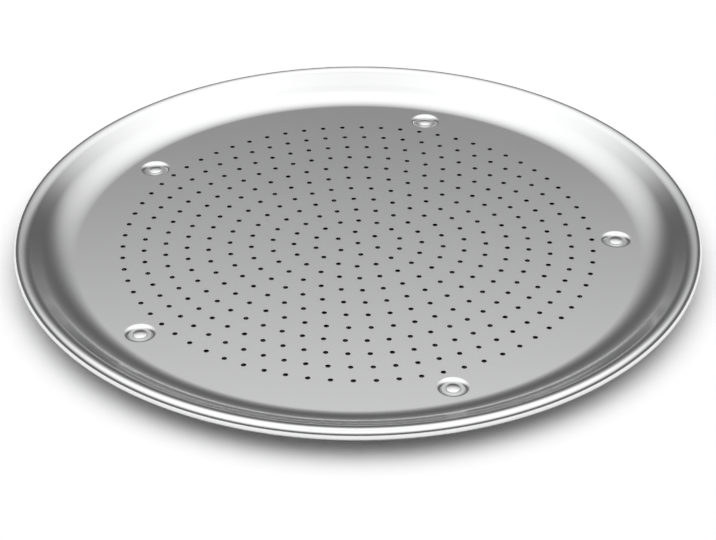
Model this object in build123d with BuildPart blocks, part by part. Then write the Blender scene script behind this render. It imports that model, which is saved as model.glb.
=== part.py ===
from build123d import *
import math
import os

# A round perforated pizza pan. One drawn aluminium sheet makes the floor, the flared wall and the
# rim, which is rolled over a wire. Five wells are pressed into the floor outside the holes, and
# under each of them a rivet holds a low foot.
# Millimetres, with +Z up. The origin is the middle of the plane that the feet stand on.

# Whole pan
overall_diameter = 405.2
sheet_thickness = 1.0

# Wall and rolled rim. The heights and bends are those of the sheet's upper side. The curl is
# rolled round the wire until its edge is one gap short of the wall's underside.
rim_height = 12.5
wall_slope = 35.0
floor_bend = 35.0
rim_bend = 10.0
wire_diameter = 4.5
wire_clearance = 0.35
curl_gap = 1.0

# Holes in the floor: one in the middle and rings around it, which share one starting line. They
# end one margin short of the wells.
hole_diameter = 3.0
ring_counts = (6, 14, 20, 26, 32, 38, 44, 52, 58, 64, 70)
start_line_angle = 37.56
hole_margin = 3.7

# Wells, one margin short of the wall. The radii and bends are those of the sheet's upper side.
well_count = 5
well_margin = 3.45
well_radius = 9.3
well_depth = 1.4
shoulder_bend = 3.55
heel_bend = 0.2

# Feet, each with a web under the well and a recess below it for the rivet's flattened tail
foot_diameter = 12.0
foot_height = 2.5
foot_web = 1.2
foot_edge_radius = 0.4
recess_diameter = 7.0

# Rivets. The edge of a head is rounded from the bottom of the well up, and the crown rises above
# the rounding. The tail stays clear of the recess all round and of the plane that the feet stand on.
shank_diameter = 3.2
shank_clearance = 0.05
head_diameter = 8.9
head_edge_radius = 1.0
head_crown = 0.35
tail_side_gap = 0.7
tail_ground_gap = 0.3

# Levels, from the plane that the feet stand on
well_floor_level = foot_height + sheet_thickness
floor_level = well_floor_level + well_depth
rim_level = floor_level + rim_height

# The flat floor ends where a tangent chain of bend, straight wall and bend meets the rolled rim
wire_radius = wire_diameter / 2
curl_radius = wire_radius + wire_clearance + sheet_thickness
rim_circle_radius = overall_diameter / 2 - curl_radius
wall_sine = math.sin(math.radians(wall_slope))
wall_cosine = math.cos(math.radians(wall_slope))
wall_bends_rise = (floor_bend + rim_bend) * (1 - wall_cosine)
wall_length = (rim_height - wall_bends_rise) / wall_sine
flat_radius = rim_circle_radius - (floor_bend + rim_bend) * wall_sine - wall_length * wall_cosine

# The curl's outer side and the wall's underside are circles, one above the other at the rim. This
# is the turn at which the first comes within the gap of the second.
circles_apart = rim_bend - curl_radius
curl_reach = rim_bend - sheet_thickness - curl_gap
curl_end_cosine = (curl_reach**2 - circles_apart**2 - curl_radius**2) / (
    2 * circles_apart * curl_radius
)
curl_sweep = 360 - math.degrees(math.acos(curl_end_cosine))

# Two tangent bends lead from the flat bottom of a well up to the floor. Their slope in the middle
# follows from the depth.
well_slope = math.degrees(math.acos(1 - well_depth / (heel_bend + shoulder_bend)))
well_side_width = (heel_bend + shoulder_bend) * math.sin(math.radians(well_slope))
well_flat_radius = well_radius - well_side_width

well_circle_radius = flat_radius - well_margin - well_radius
hole_radius = hole_diameter / 2
hole_field_radius = well_circle_radius - well_radius - hole_margin - hole_radius
ring_pitch = hole_field_radius / len(ring_counts)

recess_radius = recess_diameter / 2
recess_depth = foot_height - foot_web
shank_radius = shank_diameter / 2
shank_hole_radius = shank_radius + shank_clearance
head_radius = head_diameter / 2
head_height = head_edge_radius + head_crown
tail_radius = recess_radius - tail_side_gap

# The crown of a rivet head is part of a ball, tangent to the rounding of its edge
rounding_circle_radius = head_radius - head_edge_radius
crown_radius = head_edge_radius + head_crown / 2 + rounding_circle_radius**2 / (2 * head_crown)
crown_sweep = math.degrees(math.asin(rounding_circle_radius / (crown_radius - head_edge_radius)))

well_start_angle = start_line_angle + 180
well_places = PolarLocations(well_circle_radius, well_count, start_angle=well_start_angle)


def draw_wall(depth):
    """Draw the wall and the rolled rim, this far below the sheet's upper side. Return the ends."""
    start = (flat_radius, floor_level - depth)
    lower_arc = JernArc(start, (1, 0), floor_bend + depth, wall_slope)
    side_end = lower_arc @ 1 + (lower_arc % 1) * wall_length
    Line(lower_arc @ 1, side_end)
    upper_arc = JernArc(side_end, lower_arc % 1, rim_bend - depth, -wall_slope)
    curl = JernArc(upper_arc @ 1, (1, 0), curl_radius - depth, -curl_sweep)
    return start, curl @ 1


def draw_well(depth):
    """Draw a well from its rivet hole outwards, this far below the upper side. Return the ends."""
    start = (shank_hole_radius, well_floor_level - depth)
    heel = (well_flat_radius, well_floor_level - depth)
    Line(start, heel)
    lower_arc = JernArc(heel, (1, 0), heel_bend + depth, well_slope)
    upper_arc = JernArc(lower_arc @ 1, lower_arc % 1, shoulder_bend - depth, -well_slope)
    return start, upper_arc @ 1


os.makedirs("parts", exist_ok=True)

# One well, on its own axis
with BuildPart() as well:
    with BuildSketch(Plane.XZ):
        with BuildLine():
            upper_start, upper_end = draw_well(0)
            lower_start, lower_end = draw_well(sheet_thickness)
            Line(upper_start, lower_start)
            Line(upper_end, lower_end)
        make_face()
    revolve(axis=Axis.Z)

# Pan sheet: the perforated floor, the wall with its rolled rim, and the wells
with BuildPart() as pan_shell:
    with BuildSketch(Plane.XY.offset(floor_level)):
        Circle(flat_radius)
        Circle(hole_radius, mode=Mode.SUBTRACT)
        for ring_number, ring_count in enumerate(ring_counts, start=1):
            with PolarLocations(ring_number * ring_pitch, ring_count, start_line_angle):
                Circle(hole_radius, mode=Mode.SUBTRACT)
        with Locations(*well_places.locations):
            Circle(well_radius, mode=Mode.SUBTRACT)
    extrude(amount=-sheet_thickness)
    with BuildSketch(Plane.XZ):
        with BuildLine():
            upper_start, upper_end = draw_wall(0)
            lower_start, lower_end = draw_wall(sheet_thickness)
            Line(upper_start, lower_start)
            Line(upper_end, lower_end)
        make_face()
    revolve(axis=Axis.Z)
    with Locations(*well_places.locations):
        add(well.part)
pan_shell.part.label = "pan_shell"
export_step(pan_shell.part, "parts/pan_shell.step")

# Wire hoop inside the rolled rim
with BuildPart() as rim_wire:
    with BuildSketch(Plane.XZ):
        with Locations((rim_circle_radius, rim_level - curl_radius)):
            Circle(wire_radius)
    revolve(axis=Axis.Z)
rim_wire.part.label = "rim_wire"
export_step(rim_wire.part, "parts/rim_wire.step")

# One foot under each well
for foot_number, place in enumerate(well_places.locations, start=1):
    foot_plane = Plane(origin=place.position)
    with BuildPart() as foot:
        with BuildSketch(foot_plane):
            Circle(foot_diameter / 2)
        extrude(amount=foot_height)
        fillet(foot.edges().sort_by(Axis.Z)[0], foot_edge_radius)
        with BuildSketch(foot_plane):
            Circle(recess_radius)
        extrude(amount=recess_depth, mode=Mode.SUBTRACT)
        with BuildSketch(foot_plane):
            Circle(shank_hole_radius)
        extrude(amount=foot_height, mode=Mode.SUBTRACT)
    foot.part.label = f"foot_{foot_number}"
    export_step(foot.part, f"parts/foot_{foot_number}.step")

# Rivets: a crowned head on the bottom of the well, a shank through the sheet and the foot, and a
# flat tail in the recess of the foot
head_top_level = well_floor_level + head_height
tail_top_level = recess_depth
with BuildPart() as rivet:
    with BuildSketch(Plane.XZ):
        with BuildLine():
            crown = JernArc((0, head_top_level), (1, 0), crown_radius, -crown_sweep)
            rounding = JernArc(crown @ 1, crown % 1, head_edge_radius, crown_sweep - 90)
            Polyline(
                rounding @ 1,
                (shank_radius, well_floor_level),
                (shank_radius, tail_top_level),
                (tail_radius, tail_top_level),
                (tail_radius, tail_ground_gap),
                (0, tail_ground_gap),
                crown @ 0,
            )
        make_face()
    revolve(axis=Axis.Z)

with BuildPart() as foot_rivets:
    with Locations(*well_places.locations):
        add(rivet.part)
foot_rivets.part.label = "foot_rivets"
export_step(foot_rivets.part, "parts/foot_rivets.step")
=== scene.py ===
import math

import bpy
import numpy as np
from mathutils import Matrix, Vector
from mathutils.geometry import delaunay_2d_cdt


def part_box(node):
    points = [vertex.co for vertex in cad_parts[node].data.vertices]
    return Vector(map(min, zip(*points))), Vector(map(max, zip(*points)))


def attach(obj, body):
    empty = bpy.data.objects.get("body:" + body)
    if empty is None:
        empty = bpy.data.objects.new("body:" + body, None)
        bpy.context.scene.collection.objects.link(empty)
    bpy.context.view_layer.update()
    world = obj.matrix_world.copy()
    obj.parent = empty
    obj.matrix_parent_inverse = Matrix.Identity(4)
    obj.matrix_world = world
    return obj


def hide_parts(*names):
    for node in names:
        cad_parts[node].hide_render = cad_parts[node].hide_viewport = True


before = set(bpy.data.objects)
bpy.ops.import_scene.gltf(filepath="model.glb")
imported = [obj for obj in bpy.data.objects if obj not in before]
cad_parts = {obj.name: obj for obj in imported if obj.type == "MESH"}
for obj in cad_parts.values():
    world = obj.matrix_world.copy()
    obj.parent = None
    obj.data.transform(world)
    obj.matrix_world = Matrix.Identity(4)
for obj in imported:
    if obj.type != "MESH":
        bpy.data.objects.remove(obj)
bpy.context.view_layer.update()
print("frame loaded")

mm = 0.001      # sizes are given in millimetres, and meshes are in metres


# Profiles. A profile is four arrays: radius, height and the two parts of its outward normal.

def arcProfile(centre, radius, fromDegrees, toDegrees, steps, inward=False):
    # points = centre + radius (cos a, sin a), a running evenly; normal = +-(cos a, sin a)
    angle = np.radians(np.linspace(fromDegrees, toDegrees, steps + 1))
    side = -1.0 if inward else 1.0
    across, along = np.cos(angle), np.sin(angle)
    return np.array([centre[0] + radius * across, centre[1] + radius * along,
                     side * across, side * along])


def lineProfile(start, end, normal, steps=1):
    # points = start + t (end - start), t from 0 to 1, all with one normal
    t = np.linspace(0.0, 1.0, steps + 1)
    one = np.ones_like(t)
    return np.array([start[0] + t * (end[0] - start[0]), start[1] + t * (end[1] - start[1]),
                     one * normal[0], one * normal[1]])


def turnedPatches(profiles, centres, segments):
    # for each profile and centre: x = cx + r cos a, y = cy + r sin a, z = z, where the angle a goes
    # round in equal steps, as many as there are segments
    angle = np.arange(segments) * (2 * np.pi / segments)
    centres = np.atleast_2d(np.asarray(centres, float))
    patches = []
    for radius, height, across, along in profiles:
        rows, copies = len(radius), len(centres)
        shape = (copies, rows, segments)
        cosine, sine = np.cos(angle)[None, None, :], np.sin(angle)[None, None, :]
        points = np.stack([
            np.broadcast_to(centres[:, 0, None, None] + radius[None, :, None] * cosine, shape),
            np.broadcast_to(centres[:, 1, None, None] + radius[None, :, None] * sine, shape),
            np.broadcast_to(height[None, :, None], shape)], axis=-1)
        normals = np.stack([
            np.broadcast_to(across[None, :, None] * cosine, shape),
            np.broadcast_to(across[None, :, None] * sine, shape),
            np.broadcast_to(along[None, :, None], shape)], axis=-1)
        copy, row, column = np.meshgrid(np.arange(copies), np.arange(rows - 1),
                                        np.arange(segments), indexing="ij")
        base = copy * rows * segments
        first = base + row * segments + column
        second = base + row * segments + (column + 1) % segments
        quads = np.stack([first, second, second + segments, first + segments], axis=-1)
        quads = quads.reshape(-1, 4)
        patches.append((points.reshape(-1, 3), normals.reshape(-1, 3), quads))
    return patches


def weldedMesh(name, patches):
    # joins patches: points that coincide become one vertex, each face corner keeps its own normal
    points = np.concatenate([p[0] for p in patches])
    normals = np.concatenate([p[1] for p in patches])
    starts = np.cumsum([0] + [len(p[0]) for p in patches])
    weldSize = 1e-7     # metres
    keys = np.round(points / weldSize).astype(np.int64)
    kept, vertexOf = np.unique(keys, axis=0, return_index=True, return_inverse=True)[1:]
    vertexOf = vertexOf.reshape(-1)
    corners, cornerNormals, sizes = [], [], []
    for patch, start in zip(patches, starts):
        faces = patch[2] + start
        a, b, c = (points[faces[:, k]] for k in (0, 1, 2))
        d = points[faces[:, -1]]
        # the cross product of a face's diagonals or edges has to agree with its normals
        flat = np.cross(c - a, d - b) if faces.shape[1] == 4 else np.cross(b - a, c - a)
        turned = (flat * normals[faces].sum(axis=1)).sum(axis=1) < 0
        faces = np.where(turned[:, None], faces[:, ::-1], faces)
        welded = vertexOf[faces]
        keep = welded != np.roll(welded, -1, axis=1)    # a pole turns a quad into a triangle
        whole = keep.sum(axis=1) >= 3
        corners.append(welded[whole][keep[whole]])
        cornerNormals.append(normals[faces[whole][keep[whole]]])
        sizes.append(keep[whole].sum(axis=1))
    corners, sizes = np.concatenate(corners), np.concatenate(sizes)
    cornerNormals = np.concatenate(cornerNormals)
    mesh = bpy.data.meshes.new(name)
    mesh.vertices.add(len(kept))
    mesh.vertices.foreach_set("co", points[kept].ravel())
    mesh.loops.add(len(corners))
    mesh.loops.foreach_set("vertex_index", corners.astype(np.int32))
    mesh.polygons.add(len(sizes))
    firstCorners = np.cumsum(sizes) - sizes
    mesh.polygons.foreach_set("loop_start", firstCorners.astype(np.int32))
    mesh.update(calc_edges=True)
    mesh.polygons.foreach_set("use_smooth", np.ones(len(sizes), bool))
    length = np.linalg.norm(cornerNormals, axis=1, keepdims=True)
    mesh.normals_split_custom_set((cornerNormals / length).tolist())
    piece = bpy.data.objects.new(name, mesh)
    bpy.context.scene.collection.objects.link(piece)
    return piece


def carry(piece, slotName, *nodes):
    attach(piece, "root")
    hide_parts(*nodes)
    print(piece.name, "made,", len(piece.data.polygons), "faces")


# Pan sheet. Sizes in millimetres, those of the upper side of the sheet.
panSheet = {
    "thickness": 1.0,
    "rimHeight": 12.5,          # baking floor to the top of the rim
    "wallSlope": 35.0,          # degrees
    "floorBend": 35.0,
    "rimBend": 10.0,
    "curlRadius": 3.6,
    "curlGap": 1.0,             # edge of the curl to the wall above it
    "roundSegments": 384,
    "upperSteps": (10, 6, 30),  # faces along the floor bend, the rim bend and the curl
    "underSteps": (8, 4, 16),
}
wells = {
    "count": 5,
    "margin": 3.45,             # flat floor left between a well and the wall
    "radius": 9.3,
    "depth": 1.4,
    "shoulderBend": 3.55,
    "heelBend": 0.2,
    "segments": 72,
    "heelSteps": 5,
    "shoulderSteps": (10, 6),   # upper side and underside
}
holes = {
    "diameter": 3.0,
    "ringCounts": [6, 14, 20, 26, 32, 38, 44, 52, 58, 64, 70],
    "startLine": 37.56,         # degrees; every ring has a hole on this line
    "margin": 3.7,              # outermost holes to the wells
    "edgeRound": 0.08,          # the punch draws the upper edge down a little
    "segments": 20,
    "edgeSteps": 3,
}

panLow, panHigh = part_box("pan_shell")
rimLevel = panHigh.z / mm
floorLevel = rimLevel - panSheet["rimHeight"]
wellFloor = floorLevel - wells["depth"]
panSize = min(panHigh.x - panLow.x, panHigh.y - panLow.y) / mm
curlCircle = panSize / 2 - panSheet["curlRadius"]


def climbWidth(slope, bends, rise):
    # how far out a bend, a straight and a second bend reach while they climb rise
    s = math.radians(slope)
    straight = (rise - bends * (1 - math.cos(s))) / math.sin(s)
    return bends * math.sin(s) + straight * math.cos(s)


wallBends = panSheet["floorBend"] + panSheet["rimBend"]
flatRadius = curlCircle - climbWidth(panSheet["wallSlope"], wallBends, panSheet["rimHeight"])
# a well's side is two bends without a straight: cos(slope) = 1 - depth / (both bends)
wellBends = wells["heelBend"] + wells["shoulderBend"]
wellSlope = math.degrees(math.acos(1 - wells["depth"] / wellBends))
wellFlat = wells["radius"] - wellBends * math.sin(math.radians(wellSlope))
wellCircle = flatRadius - wells["margin"] - wells["radius"]
holeRadius = holes["diameter"] / 2
holeField = wellCircle - wells["radius"] - holes["margin"] - holeRadius
ringPitch = holeField / len(holes["ringCounts"])


def ringOfPoints(radius, count, firstDegrees):
    # points = radius (cos a, sin a), with a going round in equal steps from the first angle
    angle = np.radians(firstDegrees) + np.arange(count) * (2 * np.pi / count)
    return radius * np.stack([np.cos(angle), np.sin(angle)], axis=1)


# the first well is on the starting line too, on the other side of the middle
wellCentres = ringOfPoints(wellCircle, wells["count"], holes["startLine"] + 180)
holeCentres = np.concatenate([[[0.0, 0.0]]] + [
    ringOfPoints(ringPitch * (k + 1), count, holes["startLine"])
    for k, count in enumerate(holes["ringCounts"])])


def wallProfiles():
    # a bend up from the floor, a straight wall, a bend back to level and the curl round the wire;
    # the other side of the sheet has the same centres, with bends that differ by the thickness
    t, slope = panSheet["thickness"], panSheet["wallSlope"]
    lowBend, highBend, curl = panSheet["floorBend"], panSheet["rimBend"], panSheet["curlRadius"]
    lowCentre = (flatRadius, floorLevel + lowBend)
    highCentre = (curlCircle, rimLevel - highBend)
    curlCentre = (curlCircle, rimLevel - curl)
    # the curl ends where it comes within the gap of the wall's underside, by the law of cosines
    apart, reach = highBend - curl, highBend - t - panSheet["curlGap"]
    endCosine = (reach ** 2 - apart ** 2 - curl ** 2) / (2 * apart * curl)
    curlEnd = 90 - 360 + math.degrees(math.acos(endCosine))
    s = math.radians(slope)
    wallNormal = (-math.sin(s), math.cos(s))
    underNormal = (math.sin(s), -math.cos(s))
    edgeAngle = math.radians(curlEnd)
    edgeNormal = (math.sin(edgeAngle), -math.cos(edgeAngle))
    lowSteps, highSteps, curlSteps = panSheet["upperSteps"]
    upper = [
        arcProfile(lowCentre, lowBend, -90, -90 + slope, lowSteps, inward=True),
        arcProfile(highCentre, highBend, 90 + slope, 90, highSteps),
        arcProfile(curlCentre, curl, 90, curlEnd, curlSteps),
    ]
    lowSteps, highSteps, curlSteps = panSheet["underSteps"]
    under = [
        arcProfile(curlCentre, curl - t, curlEnd, 90, curlSteps, inward=True),
        arcProfile(highCentre, highBend - t, 90, 90 + slope, highSteps, inward=True),
        arcProfile(lowCentre, lowBend + t, -90 + slope, -90, lowSteps),
    ]
    joins = [
        lineProfile(upper[0][:2, -1], upper[1][:2, 0], wallNormal),
        lineProfile(upper[2][:2, -1], under[0][:2, 0], edgeNormal),
        lineProfile(under[1][:2, -1], under[2][:2, 0], underNormal),
    ]
    return upper + under + joins


def wellProfiles(holeInWell):
    # a flat ring round the rivet, then two tangent bends up to the floor, on both sides
    t, slope = panSheet["thickness"], wellSlope
    heel, shoulder = wells["heelBend"], wells["shoulderBend"]
    heelCentre = (wellFlat, wellFloor + heel)
    shoulderCentre = (wells["radius"], floorLevel - shoulder)
    heelSteps = wells["heelSteps"]
    upperSteps, underSteps = wells["shoulderSteps"]
    upper = [
        arcProfile(heelCentre, heel, -90, -90 + slope, heelSteps, inward=True),
        arcProfile(shoulderCentre, shoulder, 90 + slope, 90, upperSteps),
    ]
    under = [
        arcProfile(heelCentre, heel + t, -90, -90 + slope, heelSteps),
        arcProfile(shoulderCentre, shoulder - t, 90 + slope, 90, underSteps, inward=True),
    ]
    flats = [
        lineProfile((holeInWell, wellFloor), (wellFlat, wellFloor), (0, 1)),
        lineProfile((holeInWell, wellFloor - t), (wellFlat, wellFloor - t), (0, -1)),
        lineProfile((holeInWell, wellFloor), (holeInWell, wellFloor - t), (-1, 0)),
    ]
    return upper + under + flats


def holeProfiles():
    # a quarter round at the upper edge and a straight wall down to the underside
    t, edge = panSheet["thickness"], holes["edgeRound"]
    centre = (holeRadius + edge, floorLevel - edge)
    rounding = arcProfile(centre, edge, 90, 180, holes["edgeSteps"])
    wall = lineProfile((holeRadius, floorLevel - edge), (holeRadius, floorLevel - t), (-1, 0))
    return [rounding, wall]


def floorPatches():
    # the flat floor between its outer circle, the wells and the holes, triangulated once and used
    # for both sides: the underside's hole circles are smaller by the rounding of the upper edge
    def circles(centres, radius, segments):
        ring = ringOfPoints(radius, segments, 0.0)
        return (np.asarray(centres)[:, None, :] + ring[None]).reshape(-1, 2)

    def sidePoints(openRadius):
        return np.concatenate([
            circles([[0.0, 0.0]], flatRadius, panSheet["roundSegments"]),
            circles(wellCentres, wells["radius"], wells["segments"]),
            circles(holeCentres, openRadius, holes["segments"])])

    sizes = ([panSheet["roundSegments"]] + [wells["segments"]] * len(wellCentres)
             + [holes["segments"]] * len(holeCentres))
    starts = np.cumsum([0] + sizes[:-1])
    loopOf = np.repeat(np.arange(len(sizes)), sizes)
    index = np.arange(len(loopOf))
    start, size = np.asarray(starts)[loopOf], np.asarray(sizes)[loopOf]
    after = start + (index - start + 1) % size
    upper = sidePoints(holeRadius + holes["edgeRound"])
    edges = np.stack([index, after], axis=1).tolist()
    wholeHull, closeness = 0, 1e-6      # kind of output, and how near two points are one, in mm
    made = delaunay_2d_cdt([Vector(p) for p in upper.tolist()], edges, [], wholeHull, closeness)
    madeFaces, madeFrom = made[2], made[3]
    source = np.array([group[0] for group in madeFrom])
    triangles = source[np.array(madeFaces)]
    # a triangle whose corners are all on one circle, other than the outer one, fills an opening
    loops = loopOf[triangles]
    inOpening = (loops[:, 0] == loops[:, 1]) & (loops[:, 1] == loops[:, 2]) & (loops[:, 0] > 0)
    triangles = triangles[~inOpening]
    under = sidePoints(holeRadius)
    patches = []
    underLevel = floorLevel - panSheet["thickness"]
    for flat, level, up in ((upper, floorLevel, 1.0), (under, underLevel, -1.0)):
        height = np.full((len(flat), 1), level)
        normals = np.tile([0.0, 0.0, up], (len(flat), 1))
        patches.append((np.hstack([flat, height]), normals, triangles))
    return patches


def inMetres(patches):
    return [(points * mm, normals, faces) for points, normals, faces in patches]


# Rivets and feet, in millimetres
rivets = {
    "shankDiameter": 3.2,
    "shankClearance": 0.05,
    "headDiameter": 8.9,
    "headEdge": 1.0,            # rounding of the head's edge
    "headCrown": 0.35,          # rise of the head above the rounding
    "tailDiameter": 5.6,
    "tailGroundGap": 0.3,
    "segments": 64,
    "crownSteps": 8,
    "edgeSteps": 9,
}
feet = {
    "diameter": 12.0,
    "web": 1.2,
    "edgeRound": 0.4,
    "smallRound": 0.12,         # the other two edges
    "recessDiameter": 7.0,
    "segments": 72,
    "edgeSteps": 5,
    "smallSteps": 3,
}

shankRadius = rivets["shankDiameter"] / 2
shankHole = shankRadius + rivets["shankClearance"]
footHeight = wellFloor - panSheet["thickness"]


def makePanSheet():
    patches = floorPatches()
    patches += turnedPatches(wallProfiles(), [[0.0, 0.0]], panSheet["roundSegments"])
    patches += turnedPatches(wellProfiles(shankHole), wellCentres, wells["segments"])
    patches += turnedPatches(holeProfiles(), holeCentres, holes["segments"])
    return weldedMesh("panSheet", inMetres(patches))


def makeRivets():
    # a ball's cap, the rounding of the head's edge, the shank and a flat tail, turned round each
    # well's axis
    head, edge, rise = rivets["headDiameter"] / 2, rivets["headEdge"], rivets["headCrown"]
    inner = head - edge
    # the crown is part of a ball: ball = edge + rise / 2 + inner^2 / (2 rise)
    ball = edge + rise / 2 + inner ** 2 / (2 * rise)
    ballLevel = wellFloor + edge + rise - ball
    crownSweep = math.degrees(math.asin(inner / (ball - edge)))
    tailRadius = rivets["tailDiameter"] / 2
    tailTop = footHeight - feet["web"]
    tailLevel = rivets["tailGroundGap"]
    profiles = [
        arcProfile((0.0, ballLevel), ball, 90, 90 - crownSweep, rivets["crownSteps"]),
        arcProfile((inner, wellFloor), edge, 90 - crownSweep, 0, rivets["edgeSteps"]),
        lineProfile((head, wellFloor), (shankRadius, wellFloor), (0, -1)),
        lineProfile((shankRadius, wellFloor), (shankRadius, tailTop), (1, 0)),
        lineProfile((shankRadius, tailTop), (tailRadius, tailTop), (0, 1)),
        lineProfile((tailRadius, tailTop), (tailRadius, tailLevel), (1, 0)),
        lineProfile((tailRadius, tailLevel), (0.0, tailLevel), (0, -1)),
    ]
    patches = turnedPatches(profiles, wellCentres, rivets["segments"])
    return weldedMesh("footRivets", inMetres(patches))


def makeFoot(name, centre):
    # a disc with rounded edges, a recess from below and the shank's hole, turned round the axis
    # of a well
    outer, recess = feet["diameter"] / 2, feet["recessDiameter"] / 2
    edge, small = feet["edgeRound"], feet["smallRound"]
    edgeSteps, smallSteps = feet["edgeSteps"], feet["smallSteps"]
    webLevel = footHeight - feet["web"]
    profiles = [
        lineProfile((shankHole, footHeight), (outer - small, footHeight), (0, 1)),
        arcProfile((outer - small, footHeight - small), small, 90, 0, smallSteps),
        lineProfile((outer, footHeight - small), (outer, edge), (1, 0)),
        arcProfile((outer - edge, edge), edge, 0, -90, edgeSteps),
        lineProfile((outer - edge, 0.0), (recess + small, 0.0), (0, -1)),
        arcProfile((recess + small, small), small, -90, -180, smallSteps),
        lineProfile((recess, small), (recess, webLevel), (-1, 0)),
        lineProfile((recess, webLevel), (shankHole, webLevel), (0, -1)),
        lineProfile((shankHole, webLevel), (shankHole, footHeight), (-1, 0)),
    ]
    patches = turnedPatches(profiles, [centre], feet["segments"])
    return weldedMesh(name, inMetres(patches))


# Materials
aluminium = {
    "colour": (0.865, 0.867, 0.87, 1.0),
    "roughness": 0.14,
    "roughnessSpread": 0.03,
    "grainScale": 900.0,
    "bump": 0.02,
}
# the walls of the holes: a dark colour, which is painted shade for the dark inside of the holes
holeWallShade = {
    "colour": (0.10, 0.10, 0.10, 1.0),
    "skin": 0.03,               # how far from the sheet's faces the dark part begins, in mm
}
# the underside of the sheet: duller than the baking side, with a darker colour that is painted
# shade
underside = {
    "colour": (0.31, 0.31, 0.312, 1.0),
    "roughness": 0.50,
    "facing": (-0.35, -0.65),   # upward part of the outward normal: where it begins, and is full
}
steel = {
    "colour": (0.62, 0.615, 0.61, 1.0),
    "roughness": 0.28,
    "roughnessSpread": 0.08,
    "grainScale": 1500.0,
    "bump": 0.03,
}


# both metals: clouds in the roughness, and how deep the grain is, in metres
metalSurface = {
    "cloudScale": 22.0,
    "cloudDetail": 5.0,
    "grainDetail": 2.0,
    "grainDepth": 0.00005,
}
# which sockets of a Mix node hold numbers, and which hold colours
numberMix = {"type": "FLOAT", "factor": 0, "first": 2, "second": 3, "result": 0}
colourMix = {"type": "RGBA", "factor": 0, "first": 6, "second": 7, "result": 2}


def feed(tree, socket, value):
    # another node's output is linked, and a number or a colour is written into the socket
    if isinstance(value, bpy.types.NodeSocket):
        tree.links.new(value, socket)
    else:
        socket.default_value = value


def addNode(tree, kind, values):
    node = tree.nodes.new(kind)
    for key, value in values.items():
        feed(tree, node.inputs[key], value)
    return node


def calculate(tree, operation, first, second):
    node = addNode(tree, "ShaderNodeMath", {0: first, 1: second})
    node.operation = operation
    return node.outputs[0]


def mixed(tree, sockets, factor, first, second):
    # result = first (1 - factor) + second factor
    node = tree.nodes.new("ShaderNodeMix")
    node.data_type = sockets["type"]
    for key, value in (("factor", factor), ("first", first), ("second", second)):
        feed(tree, node.inputs[sockets[key]], value)
    return node.outputs[sockets["result"]]


def metalMaterial(name, look):
    # noise spreads the roughness evenly about its middle value, and a finer noise makes the grain
    material = bpy.data.materials.new(name)
    material.use_nodes = True
    tree = material.node_tree
    place = tree.nodes.new("ShaderNodeTexCoord").outputs["Object"]
    cloud = addNode(tree, "ShaderNodeTexNoise", {
        "Vector": place,
        "Scale": metalSurface["cloudScale"],
        "Detail": metalSurface["cloudDetail"]})
    spread = addNode(tree, "ShaderNodeMapRange", {
        "Value": cloud.outputs["Fac"],
        "To Min": look["roughness"] - look["roughnessSpread"],
        "To Max": look["roughness"] + look["roughnessSpread"]})
    grain = addNode(tree, "ShaderNodeTexNoise", {
        "Vector": place,
        "Scale": look["grainScale"],
        "Detail": metalSurface["grainDetail"]})
    bump = addNode(tree, "ShaderNodeBump", {
        "Height": grain.outputs["Fac"],
        "Strength": look["bump"],
        "Distance": metalSurface["grainDepth"]})
    shader = tree.nodes["Principled BSDF"]
    shader.inputs["Base Color"].default_value = look["colour"]
    shader.inputs["Metallic"].default_value = 1.0
    feed(tree, shader.inputs["Roughness"], spread.outputs["Result"])
    feed(tree, shader.inputs["Normal"], bump.outputs["Normal"])
    return material


def dullerWithPaintedShade(material):
    # duller where the outward normal points down, with painted shade there in a darker colour, and
    # more painted shade, darker again, on the walls of the holes, which lie between the floor's two
    # sides and inside the ring of wells
    tree = material.node_tree
    place = tree.nodes.new("ShaderNodeTexCoord").outputs
    facing = addNode(tree, "ShaderNodeSeparateXYZ", {0: place["Normal"]}).outputs["Z"]
    begins, full = underside["facing"]
    turnedAway = addNode(tree, "ShaderNodeMapRange", {
        "Value": facing,
        "From Min": begins,
        "From Max": full}).outputs["Result"]

    # mask of the walls of the holes, where the painted shade goes
    wellsBegin = (wellCircle - wells["radius"]) * mm
    wallTop = (floorLevel - holeWallShade["skin"]) * mm
    wallFoot = (floorLevel - panSheet["thickness"] + holeWallShade["skin"]) * mm
    x, y, z = addNode(tree, "ShaderNodeSeparateXYZ", {0: place["Object"]}).outputs
    xSquared = calculate(tree, "MULTIPLY", x, x)
    ySquared = calculate(tree, "MULTIPLY", y, y)
    reachSquared = calculate(tree, "ADD", xSquared, ySquared)
    inside = calculate(tree, "LESS_THAN", reachSquared, wellsBegin ** 2)
    below = calculate(tree, "LESS_THAN", z, wallTop)
    above = calculate(tree, "GREATER_THAN", z, wallFoot)
    between = calculate(tree, "MULTIPLY", below, above)
    holeWall = calculate(tree, "MULTIPLY", inside, between)

    shader = tree.nodes["Principled BSDF"]
    # painted shade: a darker colour where the outward normal points down
    tone = mixed(tree, colourMix, turnedAway, aluminium["colour"], underside["colour"])
    # painted shade: the walls of the holes get the dark colour
    tone = mixed(tree, colourMix, holeWall, tone, holeWallShade["colour"])
    feed(tree, shader.inputs["Base Color"], tone)
    polished = shader.inputs["Roughness"].links[0].from_socket
    duller = mixed(tree, numberMix, turnedAway, polished, underside["roughness"])
    feed(tree, shader.inputs["Roughness"], duller)


def dress(piece, material):
    piece.data.materials.clear()
    piece.data.materials.append(material)


panAluminium = metalMaterial("panAluminium", aluminium)
dullerWithPaintedShade(panAluminium)
hardwareAluminium = metalMaterial("hardwareAluminium", aluminium)
footSteel = metalMaterial("footSteel", steel)
print("materials made")

panPiece = makePanSheet()
dress(panPiece, panAluminium)
carry(panPiece, "pan_aluminium", "pan_shell")

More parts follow.
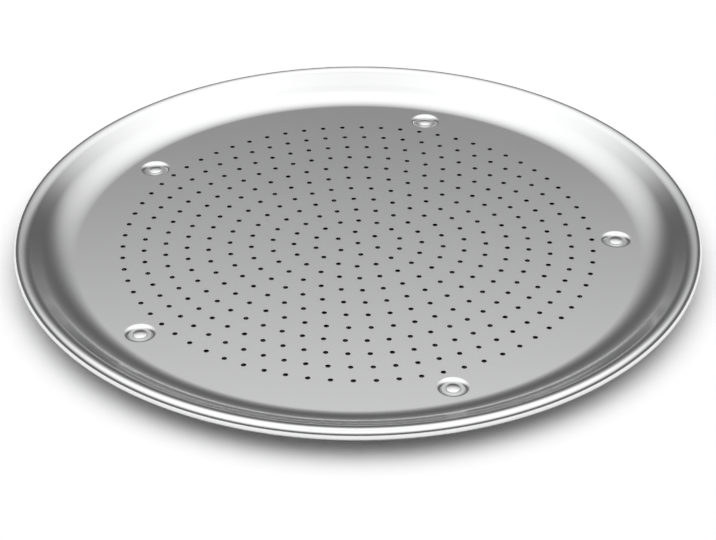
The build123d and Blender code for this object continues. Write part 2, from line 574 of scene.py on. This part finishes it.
rivetPiece = makeRivets()
dress(rivetPiece, hardwareAluminium)
carry(rivetPiece, "rivet_aluminium", "foot_rivets")

for number, centre in enumerate(wellCentres, start=1):
    footPiece = makeFoot("foot" + str(number), centre)
    dress(footPiece, footSteel)
    carry(footPiece, "foot_steel", "foot_" + str(number))

# the wire keeps its CAD shape, because the curl hides it
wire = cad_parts["rim_wire"]
dress(wire, footSteel)
print("wire dressed")

# Floor under the pan. The camera and the metal see it white, and it keeps the pan's shadow.
table = {
    "halfSize": 12.0,           # metres
    "colour": (0.95, 0.95, 0.95, 1.0),
    "seenColour": (1.3, 1.3, 1.3, 1.0),
}


def makeTable():
    h = table["halfSize"]
    mesh = bpy.data.meshes.new("table")
    mesh.from_pydata([(-h, -h, 0), (h, -h, 0), (h, h, 0), (-h, h, 0)], [], [(0, 1, 2, 3)])
    piece = bpy.data.objects.new("table", mesh)
    bpy.context.scene.collection.objects.link(piece)
    material = bpy.data.materials.new("tableWhite")
    material.use_nodes = True
    tree = material.node_tree
    shader = tree.nodes["Principled BSDF"]
    shader.inputs["Roughness"].default_value = 1.0
    shader.inputs["Specular IOR Level"].default_value = 0.0
    path = tree.nodes.new("ShaderNodeLightPath").outputs
    seen = calculate(tree, "MAXIMUM", path["Is Camera Ray"], path["Is Glossy Ray"])
    seen = calculate(tree, "MAXIMUM", seen, path["Is Transmission Ray"])
    tone = mixed(tree, colourMix, seen, table["colour"], table["seenColour"])
    feed(tree, shader.inputs["Base Color"], tone)
    mesh.materials.append(material)
    print("table made")


makeTable()

# Light: one big soft box overhead, which fades towards the horizon
studio = {
    "strength": 1.18,
    "lowestSine": -0.1,         # sine of the elevation where the ramp of the fade starts
    # elevation in degrees and brightness there, matched to the shades that the photograph's floor
    # and wall mirror
    "fade": [(-5, 0.25), (3, 0.24), (7, 0.20), (12, 0.145), (19, 0.122), (23, 0.142), (26, 0.185),
             (28, 0.235), (30, 0.32), (33, 0.49), (36, 0.64), (40, 0.79), (46, 1.00), (53, 1.14),
             (62, 1.18), (76, 1.16), (86, 1.05)],
}


def makeLight():
    world = bpy.data.worlds.new("studio")
    bpy.context.scene.world = world
    world.use_nodes = True
    tree = world.node_tree
    background = tree.nodes["Background"]
    background.inputs["Strength"].default_value = studio["strength"]
    lowest = studio["lowestSine"]
    place = tree.nodes.new("ShaderNodeTexCoord").outputs["Generated"]
    up = addNode(tree, "ShaderNodeSeparateXYZ", {"Vector": place}).outputs["Z"]
    shift = addNode(tree, "ShaderNodeMapRange", {
        "Value": up,
        "From Min": lowest,
        "From Max": 1.0})
    ramp = addNode(tree, "ShaderNodeValToRGB", {"Fac": shift.outputs["Result"]})
    feed(tree, background.inputs["Color"], ramp.outputs["Color"])
    # a stop's place on the ramp = (sine of its elevation - lowest) / (1 - lowest)
    stops = ramp.color_ramp.elements
    ready = len(stops)          # a new ramp comes with some
    for k, (elevation, value) in enumerate(studio["fade"]):
        at = (math.sin(math.radians(elevation)) - lowest) / (1 - lowest)
        stop = stops[k] if k < ready else stops.new(at)
        stop.position = at
        shade = value / studio["strength"]
        stop.color = (shade, shade, shade, 1.0)
    print("light made")


makeLight()

# Camera, from the way the rings of holes look in the photograph
view = {
    "focalPixels": 2255.4,
    "framePixels": 716,         # width of the frame
    "sensorWidth": 36.0,
    "elevation": 33.131,        # degrees
    "distance": 1319.1,         # to the target
    "target": (0.04, -29.47),   # on the baking floor
}


def makeCamera():
    data = bpy.data.cameras.new("camera")
    data.sensor_width = view["sensorWidth"]
    data.lens = view["focalPixels"] / view["framePixels"] * data.sensor_width
    camera = bpy.data.objects.new("camera", data)
    bpy.context.scene.collection.objects.link(camera)
    e = math.radians(view["elevation"])
    back = Vector((0.0, -math.cos(e), math.sin(e)))
    target = Vector((view["target"][0], view["target"][1], floorLevel)) * mm
    camera.location = target + back * view["distance"] * mm
    camera.rotation_mode = "QUATERNION"
    camera.rotation_quaternion = (-back).to_track_quat("-Z", "Y")
    bpy.context.scene.camera = camera
    print("camera made")


makeCamera()
bpy.context.scene.view_settings.view_transform = "Standard"
